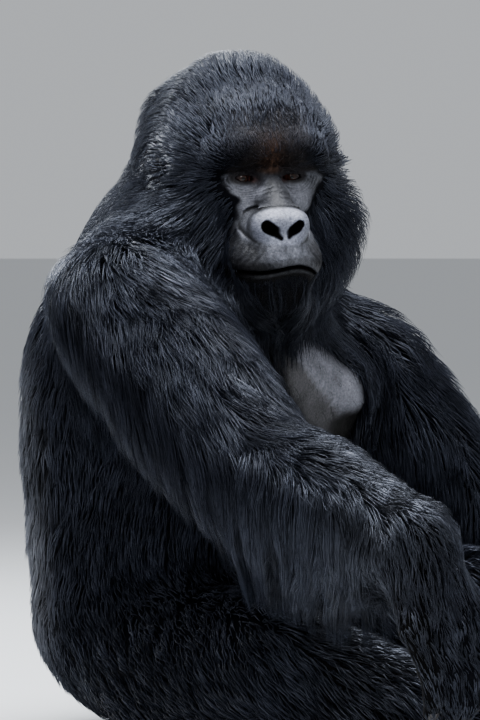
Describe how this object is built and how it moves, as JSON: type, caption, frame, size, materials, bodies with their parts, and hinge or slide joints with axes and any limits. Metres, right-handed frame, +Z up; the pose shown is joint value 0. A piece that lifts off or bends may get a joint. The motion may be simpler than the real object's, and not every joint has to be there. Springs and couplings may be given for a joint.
{
  "type": "seated silverback mountain gorilla",
  "caption": "Life-size still model of a sitting silverback gorilla, head turned to its right, one forearm over its knee.",
  "frame": {"origin": "bottom centre of the bounding box, on the floor the animal sits on", "axes": "+Z up; the trunk faces -Y and the animal's own left is +X; the head is turned 36 degrees to its right"},
  "size_m": [0.8974, 1.1698, 0.9661],
  "materials": {
    "coat": "long shaggy black hair with a blue-grey sheen",
    "skin": "wrinkled blue-grey to black bare skin",
    "eyes": "wet, reddish brown iris in a dark eyeball",
    "nails": "smooth dark horn"
  },
  "bodies": {
    "root": {"head": "coat", "neck": "coat", "trunk": "coat", "upper_arm_r": "coat", "upper_arm_l": "coat", "forearm_r": "coat", "forearm_l": "coat", "thigh_r": "coat", "thigh_l": "coat", "shin_r": "coat", "shin_l": "coat", "hand_r": "skin", "hand_l": "skin", "foot_r": "skin", "foot_l": "skin", "ear_r": "skin", "ear_l": "skin", "eye_r": "eyes", "eye_l": "eyes"}
  },
  "joints": []
}
